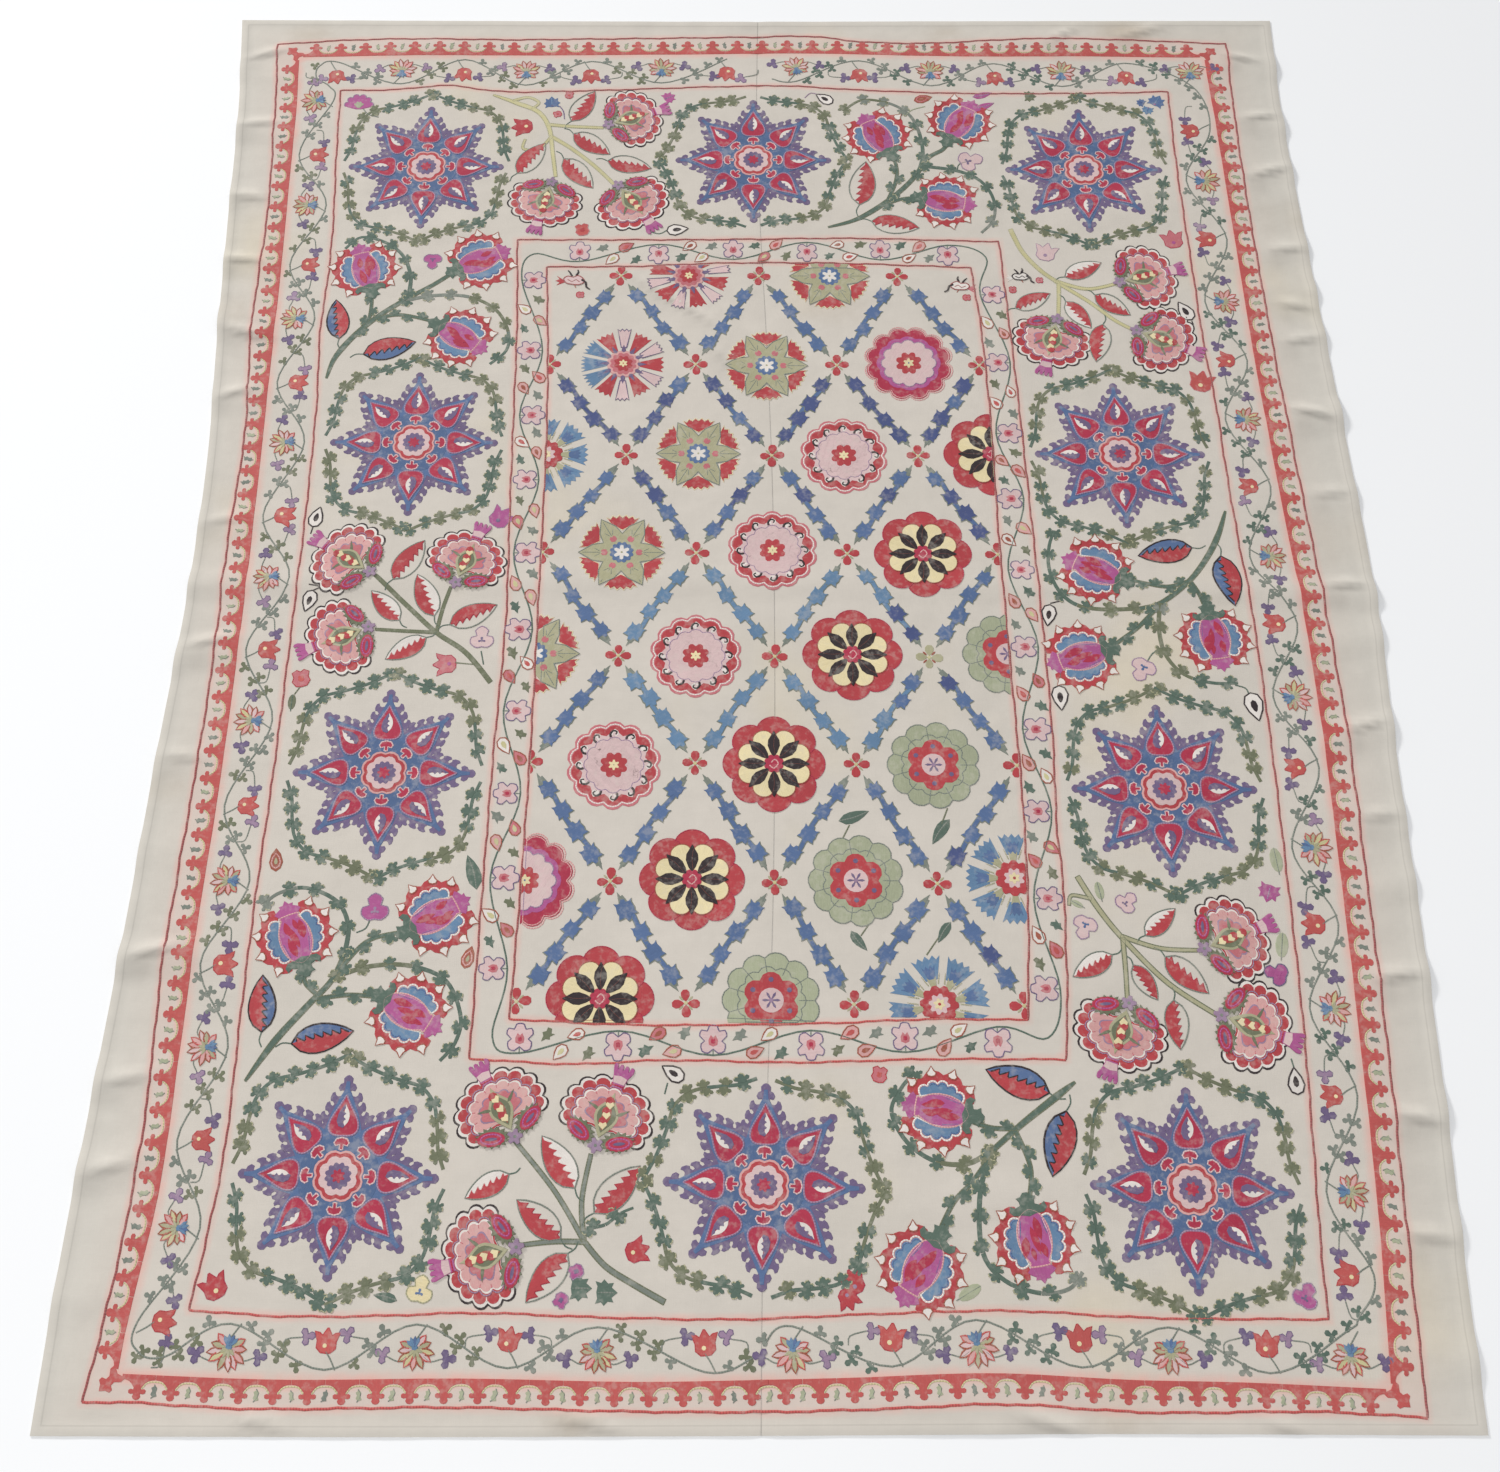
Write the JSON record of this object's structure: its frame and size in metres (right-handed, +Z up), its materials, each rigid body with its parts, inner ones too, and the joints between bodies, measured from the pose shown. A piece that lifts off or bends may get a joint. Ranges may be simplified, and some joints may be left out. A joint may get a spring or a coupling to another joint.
{
  "type": "suzani embroidered textile",
  "caption": "Rectangular embroidered cotton cloth of two long panels joined at a middle seam, laid out with soft ripples; used as a cover, spread or hanging.",
  "frame": {"origin": "on the floor under the middle of the laid-out cloth's box", "axes": "+Z up, +Y along the length to the far edge, +X across the width to the right"},
  "size_m": [1.523, 1.9239, 0.0078],
  "materials": {
    "left_ground": "undyed plain-weave cotton, slightly greyed",
    "right_ground": "undyed plain-weave cotton, slightly greyed",
    "silk_red": "dyed silk thread, laid and couched or chain-stitched",
    "silk_scarlet": "dyed silk thread, laid and couched or chain-stitched",
    "silk_crimson": "dyed silk thread, laid and couched or chain-stitched",
    "silk_rose": "dyed silk thread, laid and couched or chain-stitched",
    "silk_pink": "dyed silk thread, laid and couched or chain-stitched",
    "silk_pale_pink": "dyed silk thread, laid and couched or chain-stitched",
    "silk_magenta": "dyed silk thread, laid and couched or chain-stitched",
    "silk_mauve": "dyed silk thread, laid and couched or chain-stitched",
    "silk_violet": "dyed silk thread, laid and couched or chain-stitched",
    "silk_blue": "dyed silk thread, laid and couched or chain-stitched",
    "silk_light_blue": "dyed silk thread, laid and couched or chain-stitched",
    "silk_navy": "dyed silk thread, laid and couched or chain-stitched",
    "silk_teal": "dyed silk thread, laid and couched or chain-stitched",
    "silk_moss": "dyed silk thread, laid and couched or chain-stitched",
    "silk_olive": "dyed silk thread, laid and couched or chain-stitched",
    "silk_sage": "dyed silk thread, laid and couched or chain-stitched",
    "silk_grey_green": "dyed silk thread, laid and couched or chain-stitched",
    "silk_straw": "dyed silk thread, laid and couched or chain-stitched",
    "silk_cream": "dyed silk thread, laid and couched or chain-stitched",
    "silk_white": "dyed silk thread, laid and couched or chain-stitched",
    "silk_black": "dyed silk thread, laid and couched or chain-stitched",
    "silk_russet": "dyed silk thread, laid and couched or chain-stitched",
    "silk_rust": "dyed silk thread, laid and couched or chain-stitched"
  },
  "bodies": {
    "root": {"left_panel": "left_ground", "right_panel": "right_ground"}
  },
  "joints": []
}
